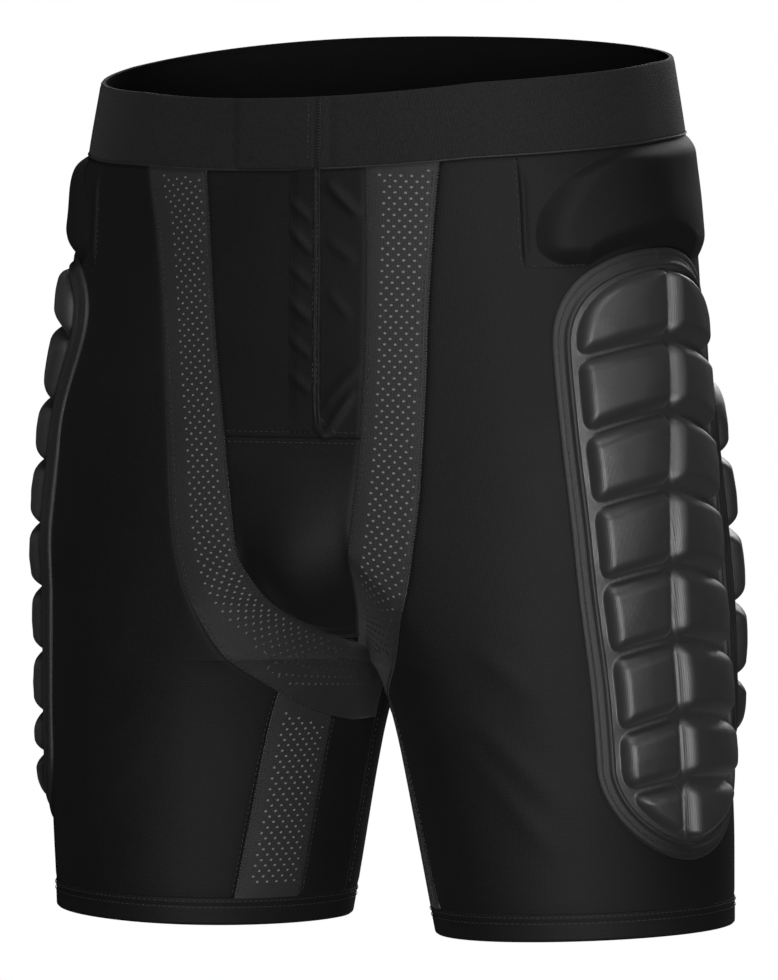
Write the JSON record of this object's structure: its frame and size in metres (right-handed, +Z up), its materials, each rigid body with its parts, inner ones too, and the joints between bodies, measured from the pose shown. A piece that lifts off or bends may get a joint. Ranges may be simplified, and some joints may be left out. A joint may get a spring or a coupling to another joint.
{
  "type": "padded hip protection shorts",
  "caption": "Close-fitting black sports shorts with a wide elastic waistband, mesh vents and foam block pads over the hips, thighs and seat.",
  "frame": {"origin": "middle of the waistband loop at half its height, where it sits on the wearer's waist", "axes": "+Z up the wearer's body, -Y to the front, +X to the wearer's left"},
  "size_m": [0.3927, 0.2413, 0.4636],
  "materials": {
    "shell_knit": "matt black stretch knit with a faint sheen",
    "waistband_elastic": "matt heathered black elastic webbing",
    "mesh_knit": "black knitted mesh with small staggered holes",
    "pad_cover": "smooth satin black stretch cover over foam blocks",
    "pad_binding": "matt black bound edge with a stitch line"
  },
  "bodies": {
    "root": {"waistband": "waistband_elastic", "waistband_lap": "waistband_elastic", "front_panel": "shell_knit", "fly_flap": "shell_knit", "pouch_panel": "shell_knit", "inner_leg_panel_left": "shell_knit", "inner_leg_panel_right": "shell_knit", "leg_panel_left": "shell_knit", "leg_panel_right": "shell_knit", "seat_panel_left": "shell_knit", "seat_panel_right": "shell_knit", "hem_band_left": "shell_knit", "hem_band_right": "shell_knit", "hip_pad_left": "shell_knit", "hip_pad_right": "shell_knit", "mesh_stripe_left": "mesh_knit", "mesh_stripe_right": "mesh_knit", "inner_thigh_mesh_left": "mesh_knit", "inner_thigh_mesh_right": "mesh_knit", "thigh_pad_left": "pad_cover", "thigh_pad_right": "pad_cover", "seat_pad_left": "pad_cover", "seat_pad_right": "pad_cover", "thigh_pad_border_left": "pad_binding", "thigh_pad_border_right": "pad_binding", "seat_pad_border_left": "pad_binding", "seat_pad_border_right": "pad_binding"}
  },
  "joints": []
}
